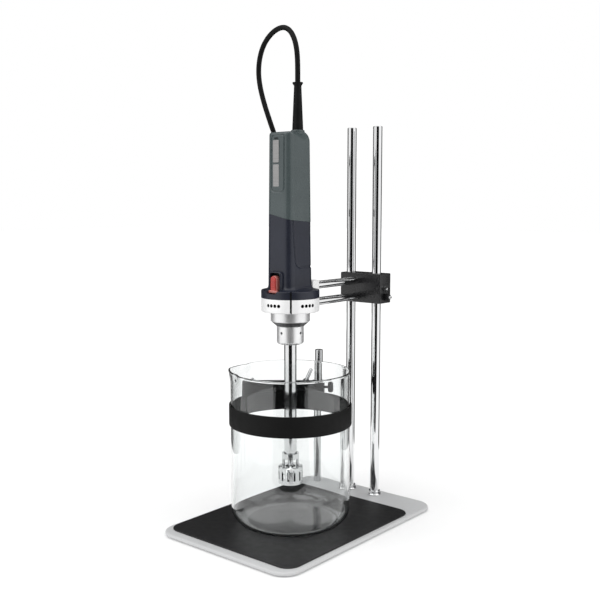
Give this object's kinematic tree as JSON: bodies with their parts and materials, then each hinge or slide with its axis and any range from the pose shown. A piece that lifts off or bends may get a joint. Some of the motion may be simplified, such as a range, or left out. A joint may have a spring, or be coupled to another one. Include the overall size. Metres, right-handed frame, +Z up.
{
  "type": "laboratory homogenizer",
  "caption": "Bench homogenizer: motor head with a rotor-stator shaft that slides on a column stand, over a glass beaker held by a strap on a side post, with a mains lead.",
  "frame": {"origin": "on the table, under the middle of the base plate", "axes": "+Z up along the columns, +Y to the back where the columns stand, +X to the right seen from the front"},
  "size_m": [0.2505, 0.358, 0.7365],
  "materials": {
    "plate_paint": "satin light grey",
    "mat_rubber": "matt",
    "chrome": "bright",
    "dark_steel": "plain",
    "black_paint": "satin",
    "alloy": "turned, bright",
    "tool_steel": "polished",
    "bush_white": "matt",
    "navy_plastic": "fine grain",
    "grey_plastic": "fine grain",
    "label_film": "satin",
    "core_iron": "plain",
    "copper": "plain",
    "carbon": "matt",
    "black_plastic": "matt",
    "red_plastic": "satin",
    "strap_band": "matt",
    "clear_glass": "clear",
    "cord_rubber": "satin",
    "pin_metal": "plated"
  },
  "bodies": {
    "stand": {"base_plate": "plate_paint", "rubber_mat": "mat_rubber", "foot_pads": "mat_rubber", "column_left": "chrome", "column_right": "chrome", "column_collars": "chrome", "base_bolts": "dark_steel", "holder_post": "chrome"},
    "motor_carriage": {"clamp_block": "black_paint", "arm_upper": "chrome", "arm_lower": "chrome", "arm_screws": "dark_steel", "rear_bracket": "alloy", "vent_ring": "alloy", "ring_screws": "dark_steel", "nose_cone": "alloy", "tube_socket": "alloy", "socket_screws": "dark_steel", "stator_tube": "tool_steel", "stator_head": "tool_steel", "shaft_bushes": "bush_white", "front_bearing": "tool_steel", "rear_bearing": "tool_steel", "lower_housing": "navy_plastic", "upper_housing": "grey_plastic", "label_plate": "label_film", "field_core": "core_iron", "field_coils": "copper", "brush_holders": "copper", "carbon_brushes": "carbon", "switch_block": "black_plastic", "speed_module": "black_plastic", "strain_relief": "cord_rubber", "cord_lead": "cord_rubber", "cord_hank": "cord_rubber", "cord_tie": "cord_rubber", "plug_body": "cord_rubber", "plug_pins": "pin_metal"},
    "rotor": {"armature_shaft": "tool_steel", "armature_core": "core_iron", "commutator": "copper", "cooling_fan": "black_plastic", "shaft_coupling": "tool_steel", "drive_shaft": "tool_steel", "rotor_head": "tool_steel"},
    "power_switch": {"switch_slider": "red_plastic", "switch_rod": "black_plastic"},
    "speed_wheel": {"speed_dial": "black_plastic"},
    "pinch_bolt": {"pinch_screw": "chrome"},
    "height_knob": {"clamp_stem": "chrome", "clamp_knob": "black_plastic"},
    "beaker_holder": {"boss_head": "black_paint", "holder_arm": "black_paint", "back_bar": "black_paint", "beaker_strap": "strap_band", "strap_rivets": "chrome", "strap_pin": "chrome"},
    "boss_handle": {"boss_lever": "chrome"},
    "strap_knob": {"tension_knob": "black_plastic"},
    "vessel": {"beaker": "clear_glass"}
  },
  "joints": [
    {"name": "height_slide", "type": "slide", "parent": "stand", "child": "motor_carriage", "axis": [0, 0, 1], "range_m": [-0.045, 0.2]},
    {"name": "rotor_spin", "type": "hinge", "parent": "motor_carriage", "child": "rotor", "pos_m": [0, -0.026, 0.345], "axis": [0, 0, 1], "continuous": true},
    {"name": "switch_slide", "type": "slide", "parent": "motor_carriage", "child": "power_switch", "axis": [0, 0, 1], "range_m": [0, 0.004]},
    {"name": "speed_turn", "type": "hinge", "parent": "motor_carriage", "child": "speed_wheel", "pos_m": [-0.0028, -0.048, 0.571], "axis": [0, 0, 1], "range_deg": [0, 270]},
    {"name": "pinch_turn", "type": "hinge", "parent": "motor_carriage", "child": "pinch_bolt", "pos_m": [0.039, 0.155, 0.346], "axis": [1, 0, 0], "range_deg": [-180, 180]},
    {"name": "knob_turn", "type": "hinge", "parent": "motor_carriage", "child": "height_knob", "pos_m": [0.039, 0.155, 0.333], "axis": [1, 0, 0], "range_deg": [-180, 180]},
    {"name": "holder_slide", "type": "slide", "parent": "stand", "child": "beaker_holder", "axis": [0, 0, 1], "range_m": [-0.1, 0.028]},
    {"name": "lever_turn", "type": "hinge", "parent": "beaker_holder", "child": "boss_handle", "pos_m": [-0.12, 0.155, 0.176], "axis": [1, 0, 0], "range_deg": [-90, 90]},
    {"name": "tension_turn", "type": "hinge", "parent": "beaker_holder", "child": "strap_knob", "pos_m": [-0.01158, 0.08503, 0.1925], "axis": [0.766, 0.6428, 0], "range_deg": [-180, 180]},
    {"name": "beaker_lift", "type": "slide", "parent": "stand", "child": "vessel", "axis": [0, 0, 1], "range_m": [0, 0.04]}
  ]
}
